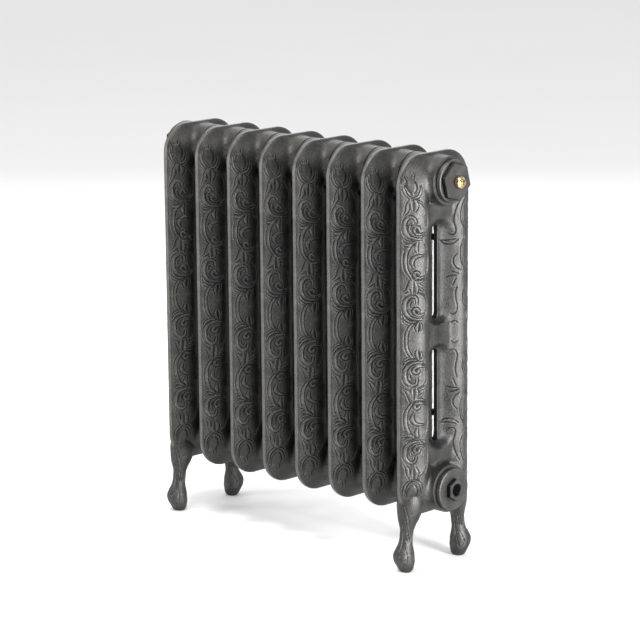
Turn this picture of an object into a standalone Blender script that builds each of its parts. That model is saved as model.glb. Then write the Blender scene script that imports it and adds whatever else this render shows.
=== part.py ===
"""Ornate cast iron column radiator: eight hollow castings on screwed nipples.

Metres, +Z up. X runs along the radiator, the front is -Y, the floor is z = 0 and the
origin is the middle of the bounding box's base. The air vent end is +X.
"""

import math

import bmesh
import bpy
from mathutils import Vector

MM = 0.001
GAP = 0.3                      # clearance kept between neighbouring solids, mm

# Driving dimensions, mm
SECTION_COUNT = 8
PITCH = 76.0                   # from one section's middle plane to the next
BODY_BOTTOM = 90.0             # underside of the casting above the floor
BODY_TOP = 674.0
BODY_DEPTH = 160.0
CORNER_RADIUS = 48.0
HUB_CENTRES = 500.0            # between the lower and the upper hub axis
LOWER_HUB_Z = 132.0
UPPER_HUB_Z = LOWER_HUB_Z + HUB_CENTRES
MIDDLE_Z = (BODY_BOTTOM + BODY_TOP) / 2

# A casting's half thickness against the inset from its side outline
FLANK = ((0, 4.0), (5, 8.5), (16, 19.0), (28, 26.8), (40, 26.0), (54, 16.5), (72, 4.0))
WATERWAY = ((9, 4.0), (23, 19.0), (43, 18.5), (59, 3.5))
CORE_CORNER = 6.0              # outline's corner radius at the innermost inset
CORNER_STEPS = 4               # facets in each corner of the outline

BOSS_RADIUS = 39.0
BOSS_HALF_LENGTH = PITCH / 2 - 0.7
HUB_BORE_RADIUS = 21.3         # tapped for a 1 1/4 inch nipple
HUB_STEPS = 16                 # facets round the hubs and what screws into them
HEX_STEPS = 24                 # facets round a fitting with a hexagon

SLOT_WIDTH = 14.0
SLOT_NEAR = 25.0               # slot's near and far end, from mid height
SLOT_FAR = 176.0
PANEL_HALF_SIZE = (15.0, 23.0, 21.0)   # bridge between the slots: x, y, z

LUG_RADIUS = 6.0
LUG_STEPS = 8
LUG_Y = 46.0
LUG_OFFSET_Z = 145.0           # from mid height

# Leg stations: height, radius and distance of its centre line from the middle plane
LEG = ((0, 8.5, 64.0), (3, 10.5, 64.0), (9, 13.0, 65.0), (17, 16.3, 67.5), (27, 16.8, 69.0),
       (37, 14.8, 67.5), (46, 12.0, 65.0), (56, 10.4, 62.8), (66, 10.6, 61.5), (76, 12.8, 60.0),
       (86, 16.8, 57.5), (98, 20.0, 55.0), (112, 21.5, 53.5), (130, 20.0, 52.0))
LEG_STEPS = 12

NIPPLE_RADIUS = 21.0
NIPPLE_BORE = 16.5
NIPPLE_LENGTH = 37.0
GASKET_OUTER = 33.0
GASKET_INNER = 21.6
GASKET_THICKNESS = 2 * (PITCH / 2 - BOSS_HALF_LENGTH) - 2 * GAP

# End fittings, along X from the end section's middle plane
FLANGE_START = BOSS_HALF_LENGTH + 2 * GAP + GASKET_THICKNESS
FLANGE_END = 46.5
FLANGE_RADIUS = 34.5
HEX_END = 53.4
SHANK_START = BOSS_HALF_LENGTH - 20.0
SHANK_RADIUS = 20.4
PLUG_HEX_FLATS = 55.0
BUSH_HEX_FLATS = 32.0
BUSH_BORE = 10.3               # 1/2 inch pipe thread
VENT_HOLE = 5.2                # 1/8 inch pipe thread

VENT_START = HEX_END + 1.6     # vent body's seat, clear of its washer
VENT_SHANK = 4.9
VENT_RADIUS = 9.5
VENT_AIRWAY = 1.2
VENT_SCREW_BORE = 3.4
VENT_FRONT = 66.6
SCREW_RADIUS = 3.1
SCREW_START = 57.5
SCREW_SQUARE = 4.6             # across the flats of the key end
SCREW_FRONT = 68.0

# The vent reaches past the right end, so the middle of the box is right of the castings'
RIGHT_REACH = SCREW_FRONT
LEFT_REACH = HEX_END
CENTRE_X = (LEFT_REACH - RIGHT_REACH) / 2


def clear_scene():
    for old in list(bpy.data.objects):
        bpy.data.objects.remove(old, do_unlink=True)


def make_material(name, color, roughness, metallic):
    material = bpy.data.materials.new(name)
    material.use_nodes = True
    shader = material.node_tree.nodes["Principled BSDF"]
    shader.inputs["Base Color"].default_value = (*color, 1.0)
    shader.inputs["Roughness"].default_value = roughness
    shader.inputs["Metallic"].default_value = metallic
    return material


def new_object(name, bm, material=None):
    """An object from a bmesh in millimetres."""
    bmesh.ops.scale(bm, vec=(MM, MM, MM), verts=bm.verts)
    bmesh.ops.recalc_face_normals(bm, faces=bm.faces)
    mesh = bpy.data.meshes.new(name)
    bm.to_mesh(mesh)
    bm.free()
    return place(name, mesh, material)


def place(name, mesh, material=None, location=(0, 0, 0)):
    obj = bpy.data.objects.new(name, mesh)
    obj.location = Vector(location) * MM
    bpy.context.collection.objects.link(obj)
    if material:
        mesh.materials.clear()
        mesh.materials.append(material)
        mesh.shade_smooth()
        mesh.set_sharp_from_angle(angle=math.radians(32))
    return obj


def combined(name, base, tools):
    """The mesh of a base object after its unions and cuts; the tools are removed."""
    for operation, tool in tools:
        modifier = base.modifiers.new(operation.lower(), "BOOLEAN")
        modifier.object = tool
        modifier.operation = operation
        modifier.solver = "EXACT"
        tool.hide_render = True
        tool.display_type = "WIRE"
    depsgraph = bpy.context.evaluated_depsgraph_get()
    mesh = bpy.data.meshes.new_from_object(base.evaluated_get(depsgraph))
    mesh.name = name
    for spare in [base] + [tool for _, tool in tools]:
        bpy.data.objects.remove(spare, do_unlink=True)
    return mesh


def bridge(bm, ring_a, ring_b):
    count = len(ring_a)
    for i in range(count):
        j = (i + 1) % count
        bm.faces.new((ring_a[i], ring_a[j], ring_b[j], ring_b[i]))


def loft(rings, closed=False):
    """A solid through rings of points; closed joins the last ring to the first."""
    bm = bmesh.new()
    rows = [[bm.verts.new(point) for point in ring] for ring in rings]
    for row_a, row_b in zip(rows, rows[1:]):
        bridge(bm, row_a, row_b)
    if closed:
        bridge(bm, rows[-1], rows[0])
    else:
        bm.faces.new(rows[0])
        bm.faces.new(rows[-1])
    return bm


def outline_ring(x, inset):
    """Rounded rectangle in the YZ plane, inset from the casting's side outline."""
    deepest = FLANK[-1][0]
    radius = CORNER_RADIUS + (CORE_CORNER - CORNER_RADIUS) * inset / deepest
    half_y = BODY_DEPTH / 2 - inset - radius
    half_z = (BODY_TOP - BODY_BOTTOM) / 2 - inset - radius
    ring = []
    for quarter, (sign_y, sign_z) in enumerate(((1, 1), (-1, 1), (-1, -1), (1, -1))):
        for step in range(CORNER_STEPS + 1):
            angle = math.radians(90) * (quarter + step / CORNER_STEPS)
            ring.append((x,
                         sign_y * half_y + radius * math.cos(angle),
                         MIDDLE_Z + sign_z * half_z + radius * math.sin(angle)))
    return ring


def circle_ring(x, radius, z=0.0, steps=HUB_STEPS):
    """Circle round an axis along X."""
    turn = 2 * math.pi / steps
    return [(x, radius * math.cos(turn * i), z + radius * math.sin(turn * i))
            for i in range(steps)]


def polygon_ring(x, across_flats, sides, turn_deg, steps):
    """Regular polygon sampled at the same angles as a circle; a corner is at turn_deg."""
    ring = []
    sector = 2 * math.pi / sides
    for i in range(steps):
        angle = 2 * math.pi * i / steps
        from_flat = (angle - math.radians(turn_deg)) % sector - sector / 2
        radius = across_flats / 2 / math.cos(from_flat)
        ring.append((x, radius * math.cos(angle), radius * math.sin(angle)))
    return ring


def casting_body():
    front = [outline_ring(half, inset) for inset, half in FLANK]
    back = [outline_ring(-half, inset) for inset, half in FLANK]
    return new_object("body", loft(back[::-1] + front))


def waterway():
    """The hollow that runs up both columns and through both hubs."""
    near = [outline_ring(half, inset) for inset, half in WATERWAY]
    far = [outline_ring(-half, inset) for inset, half in WATERWAY]
    return new_object("waterway", loft(near + far[::-1], closed=True))


def hub_tools(operation, radius, half_length):
    """A cylinder along X at each hub, to add as a boss or to cut as a bore."""
    tools = []
    for z in (LOWER_HUB_Z, UPPER_HUB_Z):
        rings = [circle_ring(x, radius, z) for x in (-half_length, half_length)]
        tools.append((operation, new_object("hub", loft(rings))))
    return tools


def slot_tools():
    """The two long slots between the columns."""
    tools = []
    steps = HUB_STEPS // 4
    radius = SLOT_WIDTH / 2
    for side in (-1, 1):
        low, high = sorted((MIDDLE_Z + side * SLOT_NEAR, MIDDLE_Z + side * SLOT_FAR))
        ring = []
        for centre_z, start in ((high - radius, 0.0), (low + radius, math.pi)):
            for step in range(steps + 1):
                angle = start + math.pi * step / steps
                ring.append((radius * math.cos(angle), centre_z + radius * math.sin(angle)))
        slot = loft([[(x, y, z) for y, z in ring] for x in (-PITCH, PITCH)])
        tools.append(("DIFFERENCE", new_object("slot", slot)))
    return tools


def panel_tool():
    half_x, half_y, half_z = PANEL_HALF_SIZE
    corners = ((-half_y, -half_z), (half_y, -half_z), (half_y, half_z), (-half_y, half_z))
    panel = loft([[(x, y, MIDDLE_Z + z) for y, z in corners] for x in (-half_x, half_x)])
    return "UNION", new_object("panel", panel)


def lug_tools():
    """Spacer lugs on the rear column, which reach the flank of the casting on the left."""
    tools = []
    thickest = max(half for _, half in FLANK)
    reach = PITCH - thickest - 2 * GAP
    for z in (MIDDLE_Z - LUG_OFFSET_Z, MIDDLE_Z + LUG_OFFSET_Z):
        rings = [circle_ring(x, LUG_RADIUS, z, LUG_STEPS) for x in (-reach, -thickest + 4)]
        rings = [[(px, py + LUG_Y, pz) for px, py, pz in ring] for ring in rings]
        tools.append(("UNION", new_object("lug", loft(rings))))
    return tools


def leg_tools():
    tools = []
    turn = 2 * math.pi / LEG_STEPS
    for side in (-1, 1):
        rings = [[(radius * math.cos(turn * i), side * centre_y + radius * math.sin(turn * i), z)
                  for i in range(LEG_STEPS)]
                 for z, radius, centre_y in LEG]
        tools.append(("UNION", new_object("leg", loft(rings))))
    return tools


def section_mesh(name, legs, lugs):
    tools = [panel_tool()] + hub_tools("UNION", BOSS_RADIUS, BOSS_HALF_LENGTH)
    if lugs:
        tools += lug_tools()
    if legs:
        tools += leg_tools()
    tools.append(("DIFFERENCE", waterway()))
    tools += hub_tools("DIFFERENCE", HUB_BORE_RADIUS, PITCH) + slot_tools()
    return combined(name, casting_body(), tools)


def section_x(index):
    """Middle plane of a section; the first is the left one."""
    return (index - (SECTION_COUNT - 1) / 2) * PITCH + CENTRE_X


def build_sections(iron):
    left = section_mesh("end_section_left", legs=True, lugs=False)
    middle = section_mesh("middle_section", legs=False, lugs=True)
    right = section_mesh("end_section_right", legs=True, lugs=True)
    meshes = [left] + [middle] * (SECTION_COUNT - 2) + [right]
    for index, mesh in enumerate(meshes):
        place(f"section_{index + 1}", mesh, iron, (section_x(index), 0, 0))


def tube_mesh(name, length, outer, inner):
    half = length / 2
    profile = ((-half, outer), (half, outer), (half, inner), (-half, inner))
    tube = new_object(name, loft([circle_ring(x, r) for x, r in profile], closed=True))
    return combined(name, tube, [])


def build_hub_joints(iron, rubber):
    """A nipple and a joint ring between each pair of sections, at both hubs."""
    nipple = tube_mesh("nipple", NIPPLE_LENGTH, NIPPLE_RADIUS, NIPPLE_BORE)
    gasket = tube_mesh("joint_gasket", GASKET_THICKNESS, GASKET_OUTER, GASKET_INNER)
    for level, z in (("lower", LOWER_HUB_Z), ("upper", UPPER_HUB_Z)):
        for index in range(SECTION_COUNT - 1):
            x = section_x(index) + PITCH / 2
            place(f"nipple_{level}_{index + 1}", nipple, iron, (x, 0, z))
            place(f"joint_gasket_{level}_{index + 1}", gasket, rubber, (x, 0, z))


def fitting_rings(hex_flats, hex_turn):
    """Outside of a screwed end fitting, from its shank to the face of its hexagon."""
    rounds = ((SHANK_START, SHANK_RADIUS), (FLANGE_START, SHANK_RADIUS),
              (FLANGE_START, FLANGE_RADIUS), (FLANGE_END - 1.0, FLANGE_RADIUS),
              (FLANGE_END, FLANGE_RADIUS - 1.0))
    flats = ((FLANGE_END, hex_flats), (HEX_END - 0.8, hex_flats), (HEX_END, hex_flats - 1.6))
    return ([circle_ring(x, radius, steps=HEX_STEPS) for x, radius in rounds]
            + [polygon_ring(x, size, 6, hex_turn, HEX_STEPS) for x, size in flats])


def build_fitting(name, end, z, hex_flats, hex_turn, bore, iron):
    """A plug or a bush; end is 1 for the right end of the radiator and -1 for the left."""
    rings = fitting_rings(hex_flats, hex_turn)
    if bore:
        rings += [circle_ring(x, bore, steps=HEX_STEPS) for x in (HEX_END, SHANK_START)]
    rings = [[(end * x, y, pz) for x, y, pz in ring] for ring in rings]
    fitting = new_object(name, loft(rings, closed=bool(bore)), iron)
    last = SECTION_COUNT - 1 if end > 0 else 0
    fitting.location = Vector((section_x(last), 0, z)) * MM


def build_end_fittings(iron, rubber):
    build_fitting("vent_plug_upper_right", 1, UPPER_HUB_Z, PLUG_HEX_FLATS, 45, VENT_HOLE, iron)
    build_fitting("inlet_bush_lower_right", 1, LOWER_HUB_Z, BUSH_HEX_FLATS, 90, BUSH_BORE, iron)
    build_fitting("blank_plug_upper_left", -1, UPPER_HUB_Z, PLUG_HEX_FLATS, 30, None, iron)
    build_fitting("outlet_bush_lower_left", -1, LOWER_HUB_Z, BUSH_HEX_FLATS, 90, BUSH_BORE, iron)
    gasket = tube_mesh("end_gasket", GASKET_THICKNESS, GASKET_OUTER, GASKET_INNER)
    offset = BOSS_HALF_LENGTH + GAP + GASKET_THICKNESS / 2
    for level, z in (("lower", LOWER_HUB_Z), ("upper", UPPER_HUB_Z)):
        place(f"end_gasket_{level}_left", gasket, rubber, (section_x(0) - offset, 0, z))
        place(f"end_gasket_{level}_right", gasket, rubber,
              (section_x(SECTION_COUNT - 1) + offset, 0, z))


def build_air_vent(brass, fibre):
    """The vent body, its washer, and the bleed screw that turns in it."""
    centre = (section_x(SECTION_COUNT - 1), 0, UPPER_HUB_Z)
    shank_end = SHANK_START + 4.0
    body = loft([circle_ring(shank_end, VENT_SHANK),
                 circle_ring(VENT_START, VENT_SHANK),
                 circle_ring(VENT_START, VENT_RADIUS),
                 circle_ring(VENT_START + 6.0, VENT_RADIUS),
                 circle_ring(VENT_START + 7.4, VENT_RADIUS - 1.8),
                 circle_ring(VENT_START + 7.4, 5.4),
                 circle_ring(VENT_FRONT - 0.8, 5.4),
                 circle_ring(VENT_FRONT, 4.6),
                 circle_ring(VENT_FRONT, VENT_SCREW_BORE),
                 circle_ring(SCREW_START - GAP, VENT_SCREW_BORE),
                 circle_ring(SCREW_START - 2.5, VENT_AIRWAY),
                 circle_ring(shank_end, VENT_AIRWAY)], closed=True)
    new_object("air_vent_body", body, brass).location = Vector(centre) * MM

    half = (VENT_START - HEX_END) / 2
    washer = tube_mesh("vent_washer", 2 * half - 2 * GAP, 8.5, VENT_SHANK + GAP)
    place("vent_washer", washer, fibre, (centre[0] + HEX_END + half, 0, UPPER_HUB_Z))

    screw = loft([circle_ring(SCREW_START, SCREW_RADIUS),
                  circle_ring(VENT_FRONT - 2.6, SCREW_RADIUS),
                  polygon_ring(VENT_FRONT - 2.4, SCREW_SQUARE, 4, 45, HUB_STEPS),
                  polygon_ring(SCREW_FRONT, SCREW_SQUARE, 4, 45, HUB_STEPS)])
    new_object("bleed_screw", screw, brass).location = Vector(centre) * MM


clear_scene()
cast_iron = make_material("cast_iron", (0.11, 0.11, 0.115), 0.42, 0.85)
joint_rubber = make_material("joint_rubber", (0.02, 0.02, 0.02), 0.7, 0.0)
vent_brass = make_material("vent_brass", (0.62, 0.42, 0.14), 0.3, 1.0)
washer_fibre = make_material("washer_fibre", (0.35, 0.08, 0.05), 0.8, 0.0)
build_sections(cast_iron)
build_hub_joints(cast_iron, joint_rubber)
build_end_fittings(cast_iron, joint_rubber)
build_air_vent(vent_brass, washer_fibre)
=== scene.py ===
"""Looks for the ornate cast iron radiator: detailed castings, end fittings and materials.

Sizes are in millimetres unless a name says otherwise, and are scaled by MM when placed.
"""

import math

import bpy
import numpy as np
from mathutils import Matrix, Vector
from mathutils.geometry import delaunay_2d_cdt
from mathutils.kdtree import KDTree


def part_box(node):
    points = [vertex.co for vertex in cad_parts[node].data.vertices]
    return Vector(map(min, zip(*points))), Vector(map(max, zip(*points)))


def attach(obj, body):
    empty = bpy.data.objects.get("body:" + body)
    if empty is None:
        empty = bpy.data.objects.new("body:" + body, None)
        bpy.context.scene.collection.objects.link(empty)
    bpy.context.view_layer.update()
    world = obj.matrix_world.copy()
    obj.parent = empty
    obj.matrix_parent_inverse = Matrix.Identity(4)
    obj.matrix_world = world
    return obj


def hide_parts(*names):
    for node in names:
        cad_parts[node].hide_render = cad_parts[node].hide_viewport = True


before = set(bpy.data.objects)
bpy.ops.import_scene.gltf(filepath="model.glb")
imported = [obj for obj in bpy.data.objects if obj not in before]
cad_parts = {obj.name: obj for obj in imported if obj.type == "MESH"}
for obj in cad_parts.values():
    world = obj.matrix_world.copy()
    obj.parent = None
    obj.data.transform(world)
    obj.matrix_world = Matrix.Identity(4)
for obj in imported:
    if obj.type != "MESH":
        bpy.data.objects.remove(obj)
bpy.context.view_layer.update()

MM = 0.001
EDGE_TOLERANCE = 0.02          # mm: a point this near an edge lies on it
SHARP_DEG = 38.0               # edges sharper than this aren't smoothed
FITTING_SHARP_DEG = 24.0
SECTION_COUNT = 8

# ---------------------------------------------------------------- casting, mm
HALF_DEPTH = 80.0
HALF_HEIGHT = 292.0
MIDDLE_Z = 382.0
CORNER_RADIUS = 48.0
CORE_RADIUS = 6.0              # corner radius of the outline inset by CORE_INSET
CORE_INSET = 72.0
NOSE_HALF_WIDTH = 4.0
NOSE_CROWN = 0.7               # how far the nose band bulges out
NOSE_PAINTED_HIGHLIGHT = 0.23               # painted highlight on the nose band, standing in for light from the front left
VALLEY_PAINTED_SHADE = -0.15            # painted shade in the valley between the columns, standing in for the front column's shadow
VALLEY_SHADE_INSET = 40, 56          # where the painted shade starts and is full, from the outline
VALLEY_SHADE_THICKNESS = 9, 21       # half thicknesses between which the painted shade fades out
# a column's section: inset from the casting's outline, half thickness
FLANK = ((0, 4.0), (4, 7.5), (10, 12.9), (18, 20.3), (26, 25.2), (34, 27.1), (42, 25.2),
         (49, 20.2), (55, 14.2), (60, 9.4), (65, 6.0), (71, 4.0), (78, 3.5), (90, 3.5))

HUB_OFFSET = 250.0             # hub axis from mid height
BOSS_RADIUS = 39.0
BOSS_END = 37.3                # boss face from the casting's middle plane
BOSS_CHAMFER = 1.0
HUB_BORE_RADIUS = 21.3
HUB_FILLET = 7.0

SLOT_HALF_WIDTH = 7.0
SLOT_NEAR = 25.0
SLOT_FAR = 176.0
PANEL_LEVEL = 15.0             # half thickness of the bridge between the slots
PANEL_END = 33.0               # from mid height
SHOULDER_LEVEL = 18.0          # half thickness between a slot and its hub
SHOULDER_START = 165.0         # from mid height
VALLEY_SOFTNESS = 2.0          # of the corner where they meet the columns
EDGE_STEP = 3.0                # point spacing along the outline
GRID_STEP = 4.2                # point spacing over plain iron
STROKE_STEP = 2.2              # point spacing along the ornament
STROKE_REACH = 9.0             # no stroke changes the surface further from its line
SLOT_RIM_HEIGHT = 0.5
# painted highlight along the slot's raised rim
SLOT_RIM_PAINTED_HIGHLIGHT = 0.05

GROOVE_WIDTH = 1.3             # round each raised stroke
GROOVE_DEPTH = 0.7
VEIN_DEPTH = 0.65
VEIN_HALF_WIDTH = 1.0
VEIN_STRENGTH = 0.8            # of its lips, against a raised stroke's
LIP_HEIGHT = 0.22              # thin raised line outside each groove
LIP_OFFSET = 0.7
LIP_WIDTH = 0.55
HAIRLINE, FULL_LINE = 0.2, 0.9   # half widths at which a stroke's groove starts and is full
# painted highlights on the raised pads, their rims and the lips, and painted shade in the grooves
PAD_PAINTED_HIGHLIGHT, RIM_PAINTED_HIGHLIGHT, LIP_PAINTED_HIGHLIGHT, GROOVE_PAINTED_SHADE = 0.05, 0.07, 0.06, 0.20

# Raised scrollwork on one quarter of a casting's side, mirrored to the other three.
# Each stroke: half width at its start, middle and end, then points as (distance from
# the middle of the casting, height above mid height).
SCROLLS = (
    # bud under the top corner, with its horns and the hooks beside it
    ((4.4, 6.4, 4.2), ((67, 256), (66.3, 248), (65.7, 240))),
    ((0.4, 1.1, 1.0), ((72.5, 263.5), (71.5, 261.5), (70.8, 259))),
    ((0.4, 1.1, 1.0), ((59.5, 266), (61.5, 263), (62.8, 259))),
    ((0.9, 1.6, 0.6), ((64.5, 227.5), (58.5, 230.5), (55, 237.5), (53.5, 246))),
    ((0.8, 1.2, 0.5), ((68.5, 228), (74, 235), (76.5, 244), (76.5, 254))),
    # knot and the leaves that hang from it
    ((1.3, 1.4, 0.5), ((66, 226), (67.5, 218), (66.5, 209))),
    ((1.4, 2.6, 0.5), ((63, 225), (61, 216), (63.5, 206))),
    ((1.3, 1.7, 0.5), ((68, 226), (71.5, 217), (72.5, 208), (76, 201))),
    # long thin arc on the crown of the column
    ((0.7, 1.1, 0.7), ((60.5, 225), (52, 219), (44.5, 208), (40.5, 194), (40.5, 182),
                       (44.5, 172.5), (51.5, 167.5))),
    ((0.5, 0.9, 0.5), ((47, 104), (42.5, 110), (39.8, 121), (40, 135), (43.5, 147), (50, 156))),
    ((0.5, 0.9, 0.5), ((58, 77), (50, 73), (44.5, 64), (43.5, 53), (47, 42), (54, 36))),
    # upper scroll
    ((1.0, 2.5, 0.8), ((61.5, 189), (63.5, 196), (69, 198.5), (74, 193), (75.5, 183), (74, 173),
                       (69, 166.5), (61, 163.5), (52, 163))),
    ((0.7, 1.6, 2.1), ((49, 173.3), (54.5, 170.6), (61, 171.5), (64.3, 176.5), (62.5, 181.5),
                       (58.5, 182), (57.5, 178))),
    ((0.4, 1.0, 0.4), ((65, 188), (68.5, 186), (69.5, 179), (67.5, 173.5))),
    ((0.4, 1.2, 0.8), ((76.8, 164), (73, 159.5), (67, 159))),
    ((0.4, 1.3, 0.8), ((77.2, 156), (72.5, 153.5), (67, 156))),
    ((0.4, 1.2, 0.8), ((77, 148.5), (72.5, 148.5), (68, 152.5))),
    ((1.0, 2.2, 0.4), ((59.5, 158), (61.5, 149.5), (60, 140.5))),
    # stem, crescent leaf and second scroll
    ((1.1, 1.9, 1.2), ((64.5, 158), (70, 150), (73.5, 140), (74.5, 128), (73.5, 116),
                       (70.5, 108), (67, 101.5))),
    ((0.4, 2.4, 0.7), ((64.5, 117.5), (67, 125), (65, 132.5), (59.5, 136), (51, 136.5))),
    ((0.7, 1.6, 1.9), ((49, 103), (54.5, 101), (60.5, 101.5), (64, 105), (63, 109.5),
                       (59.5, 110.5), (58, 107.5))),
    ((1.0, 1.2, 0.5), ((66.5, 99), (61, 95), (54, 95.5), (46.5, 99))),
    # leaves under the second scroll
    ((1.3, 1.8, 0.4), ((68, 98), (70.3, 88), (73, 81), (77.5, 77))),
    ((1.1, 1.8, 0.4), ((66.5, 96), (67.2, 86), (66.3, 75.5))),
    ((1.0, 2.2, 0.4), ((63, 94), (60.8, 85), (61.8, 75))),
    ((0.7, 1.2, 0.4), ((59.5, 92), (55.5, 88.5), (50.5, 87))),
    ((0.6, 1.2, 0.4), ((57.5, 86), (53.5, 82), (49, 80.5))),
    # third scroll, its curls and the leaves nested outside it
    ((1.0, 2.5, 0.8), ((60.5, 61), (61.5, 69), (67, 72), (73, 67.5), (75.8, 57), (74.5, 46),
                       (69.5, 38.5), (62, 35), (52, 34.5))),
    ((0.7, 1.7, 2.1), ((49, 43), (55, 41.3), (61.5, 42.5), (65.3, 47), (64, 51.5), (60, 52),
                       (58.5, 48.5))),
    ((0.5, 1.3, 0.5), ((64.5, 65), (68.5, 64), (70.5, 59.5), (70, 54.5))),
    ((0.4, 1.2, 0.8), ((77.5, 44), (74.5, 35.5), (69, 31), (62.5, 30.8))),
    ((0.4, 1.1, 0.6), ((78, 36.5), (75, 30), (70, 26.8))),
    # leaves and stem that meet their mirror images at mid height
    ((1.0, 2.2, 0.5), ((58.5, 29.5), (61, 22), (60, 13))),
    ((0.7, 1.5, 0.4), ((55, 29), (54.3, 22), (56, 15.5))),
    ((1.1, 1.5, 1.3), ((66.5, 27), (70.3, 20), (73, 11), (73.5, 0))),
)
# Engraved lines with a thin lip on each side
VEINS = (
    # inner side of the column
    ((37, 212), (33, 203), (29.8, 190), (29.2, 180), (31, 170), (31.5, 162.5), (28.5, 158),
     (24.5, 159)),
    ((13, 150), (17.5, 144), (23, 142.5), (30, 145), (35, 150)),
    ((13, 149.5), (22, 149), (31, 151)),
    ((33, 127), (28.8, 120), (28.8, 112), (32, 105), (36.5, 101.5)),
    ((27, 98.5), (31, 97), (35.5, 94.5)),
    ((22.5, 90), (27, 91.5), (33, 92.5)),
    ((32, 87), (30, 81.5), (28.5, 77)),
    ((33.5, 74), (31.2, 64), (32, 52), (33.8, 42), (33, 33.5), (29, 28.5), (25.5, 30.5)),
    ((27, 16), (30.5, 18.5), (33.5, 15.5)),
    # on the scrolls and the bud
    ((67, 254), (66.5, 246), (65.5, 236)),
    ((70, 250), (69.5, 243), (67.5, 236)),
    ((63.5, 251), (63.5, 243), (64.5, 236)),
    ((72.5, 190), (73.2, 182), (71.6, 174)),
    ((73, 64), (73.6, 56), (72, 47)),
    ((73, 134), (73.6, 127), (72.6, 119)),
)

# ---------------------------------------------------------------- legs, mm
# height, radius, and distance of the leg's middle from the casting's middle line
LEG = ((0, 8.5, 64.0), (3, 11.5, 64.0), (9, 14.0, 65.0), (18, 16.4, 67.5), (27, 16.6, 68.8),
       (37, 14.4, 67.3), (46, 12.0, 65.0), (56, 10.5, 62.8), (66, 10.7, 61.5), (76, 12.8, 60.0),
       (86, 16.8, 57.5), (98, 20.0, 55.0), (112, 21.5, 53.5), (132, 19.0, 52.0))
LEG_MEAN_RADIUS = 14.0
LEG_ROWS = 130
LEG_SIDES = 84
# Leaves on a leg: half widths, then points as (degrees round from its side, height)
LEG_LEAVES = (
    ((0.5, 1.4, 0.6), ((74, 112), (64, 98), (48, 82), (28, 66), (12, 52))),
    ((0.4, 2.0, 0.4), ((50, 70), (47, 60), (46, 51))),
    ((1.0, 4.4, 1.6), ((50, 41), (47, 29), (43, 17))),
    ((0.6, 1.4, 0.5), ((88, 84), (84, 50), (84, 30))),
)

LUG_RADIUS = 5.5
LUG_Y = 46.0
LUG_OFFSET_Z = 145.0
LUG_REACH = (-49.6, -22.0)

# ---------------------------------------------------------------- end fittings, mm
FLANGE_START = 38.7
FLANGE_END = 46.5
FLANGE_RADIUS = 34.5
HEX_END = 53.4
SHANK_START = 17.3
SHANK_RADIUS = 20.4
PLUG_FLATS = 55.0
BUSH_FLATS = 32.0
BUSH_BORE = 10.3
VENT_HOLE = 5.2
THREAD_PITCH = 1.8
THREAD_DEPTH = 0.9
ROUND_SIDES = 96
UPPER_HUB_Z = 632.0
LOWER_HUB_Z = 132.0
GASKET_HALF_THICKNESS = 0.4
GASKET_OUTER = 33.0
GASKET_INNER = 21.6
GASKET_ROUNDING = 0.25
WASHER_HALF_THICKNESS = 0.6
WASHER_OUTER = 8.5
WASHER_INNER = 5.1
WASHER_ROUNDING = 0.3

VENT_SEAT = 55.0               # the vent's x places are from its casting's middle plane
VENT_TAIL = 22.0               # inner end of its threaded tail
VENT_TAIL_RADIUS = 4.9
VENT_RADIUS = 9.5
VENT_FRONT = 66.6
VENT_AIRWAY = 1.2
VENT_BORE = 3.4
WEEP_HOLE = (-7.0, 2.4)        # its z and y from the vent's axis
WEEP_HOLE_RADIUS = 0.8
SCREW_START = 57.5
SCREW_RADIUS = 3.1
SCREW_FRONT = 68.0
SCREW_SQUARE = 4.6             # across the flats

# ---------------------------------------------------------------- studio, metres and watts
CAMERA_PLACE = (3.1507, -3.243, 1.345)
CAMERA_TURN = (44.09, 12.22, -0.478)     # degrees: yaw, downward pitch, roll
CAMERA_LENS = 156.7                      # mm, on a 36 mm wide sensor
# name, place, target, width, height, watts and warmth of each light
LIGHTS = (
    ("key", (2.98, -0.25, 0.55), (0.25, 0, 0.38), 0.8, 1.0, 225.0, 0.0),
    ("top", (0.0, -0.55, 2.3), (0, 0, 0.65), 0.9, 0.4, 36.0, 0.02),
    ("left", (-2.6, -3.0, 1.4), (0, 0, 0.4), 1.2, 1.2, 80.0, 0.0),
    ("back", (-2.2, 2.3, 1.9), (0, 0, 0.65), 2.4, 0.9, 30.0, 0.0),
    ("ceiling", (-3.0, 3.0, 7.0), (-3.0, 3.0, 0), 18.0, 18.0, 300.0, 0.0),
)
WORLD_STRENGTH = 0.76
FLOOR_REACH = 40000.0          # mm, from the origin to each edge
EXPOSURE = 0.0


# ================================================================ shape tools
def smooth_curve(points):
    """A smooth function through (input, output) points, without overshoot."""
    x, y = (np.array(column, float) for column in zip(*points))
    step = np.diff(x)
    slope = np.diff(y) / step
    tangent = np.zeros_like(x)
    same_way = slope[:-1] * slope[1:] > 0
    mean = 2 / (1 / np.where(same_way, slope[:-1], 1) + 1 / np.where(same_way, slope[1:], 1))
    tangent[1:-1] = np.where(same_way, mean, 0)
    tangent[0], tangent[-1] = slope[0], slope[-1]

    def curve(value):
        value = np.clip(value, x[0], x[-1])
        i = np.clip(np.searchsorted(x, value) - 1, 0, len(step) - 1)
        t = (value - x[i]) / step[i]
        rise = (3 - 2 * t) * t * t
        return (y[i] * (1 - rise) + y[i + 1] * rise
                + step[i] * t * (1 - t) * ((1 - t) * tangent[i] - t * tangent[i + 1]))

    return curve


def blend_step(value, low, high):
    """0 below low, 1 above high, smooth between."""
    t = np.clip((value - low) / (high - low), 0, 1)
    return t * t * (3 - 2 * t)


def smooth_max(a, b, softness):
    """The larger of a and b, rounded where they are within softness of each other."""
    overlap = np.clip(softness - np.abs(a - b), 0, None) / softness
    return np.maximum(a, b) + overlap * overlap * softness / 4


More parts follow.
